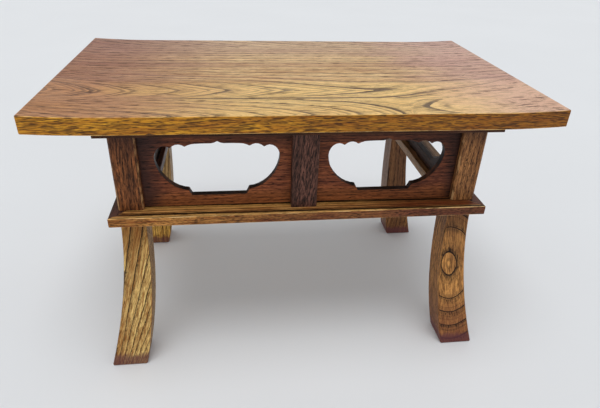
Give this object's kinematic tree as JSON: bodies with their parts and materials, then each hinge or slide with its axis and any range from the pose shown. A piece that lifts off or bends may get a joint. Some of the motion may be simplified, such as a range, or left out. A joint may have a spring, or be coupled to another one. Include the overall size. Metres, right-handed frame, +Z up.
{
  "type": "sutra table",
  "caption": "Low lacquered wooden sutra table: thick top with upturned ends, box of scalloped pierced panels, projecting ledge and curved legs that sweep outwards.",
  "frame": {"origin": "on the ground under the middle of the top", "axes": "+X along the length of the top to the right, +Y to the back, +Z up"},
  "size_m": [0.426, 0.256, 0.2592],
  "materials": {
    "top_wood": "amber brown lacquered zelkova-like wood, semi-gloss",
    "frame_wood": "dark brown lacquered wood, semi-gloss",
    "post_wood": "brown lacquered wood, semi-gloss, worn arrises",
    "centre_wood": "dark purple-brown lacquered wood, semi-gloss",
    "panel_wood": "dark reddish brown lacquered wood, semi-gloss",
    "ledge_wood": "golden brown lacquered wood, semi-gloss, worn arrises",
    "leg_wood": "amber lacquered wood, semi-gloss, darker at the feet",
    "dowel_wood": "plain unfinished wood",
    "screw_steel": "plain steel"
  },
  "bodies": {
    "root": {"top_board": "top_wood", "top_frame_front": "frame_wood", "ledge_front": "ledge_wood", "top_frame_back": "frame_wood", "ledge_back": "ledge_wood", "top_frame_left": "frame_wood", "ledge_left": "ledge_wood", "top_frame_right": "frame_wood", "ledge_right": "ledge_wood", "centre_post_front": "centre_wood", "centre_post_back": "centre_wood", "panel_left": "panel_wood", "panel_right": "panel_wood", "corner_post_front_left": "post_wood", "leg_front_left": "leg_wood", "panel_front_left": "panel_wood", "leg_dowel_front_left": "dowel_wood", "top_dowel_front_left": "dowel_wood", "ledge_key_front_left": "dowel_wood", "top_frame_key_front_left": "dowel_wood", "top_screw_front_left": "screw_steel", "corner_post_front_right": "post_wood", "leg_front_right": "leg_wood", "panel_front_right": "panel_wood", "leg_dowel_front_right": "dowel_wood", "top_dowel_front_right": "dowel_wood", "ledge_key_front_right": "dowel_wood", "top_frame_key_front_right": "dowel_wood", "top_screw_front_right": "screw_steel", "corner_post_back_left": "post_wood", "leg_back_left": "leg_wood", "panel_back_left": "panel_wood", "leg_dowel_back_left": "dowel_wood", "top_dowel_back_left": "dowel_wood", "ledge_key_back_left": "dowel_wood", "top_frame_key_back_left": "dowel_wood", "top_screw_back_left": "screw_steel", "corner_post_back_right": "post_wood", "leg_back_right": "leg_wood", "panel_back_right": "panel_wood", "leg_dowel_back_right": "dowel_wood", "top_dowel_back_right": "dowel_wood", "ledge_key_back_right": "dowel_wood", "top_frame_key_back_right": "dowel_wood", "top_screw_back_right": "screw_steel"}
  },
  "joints": []
}
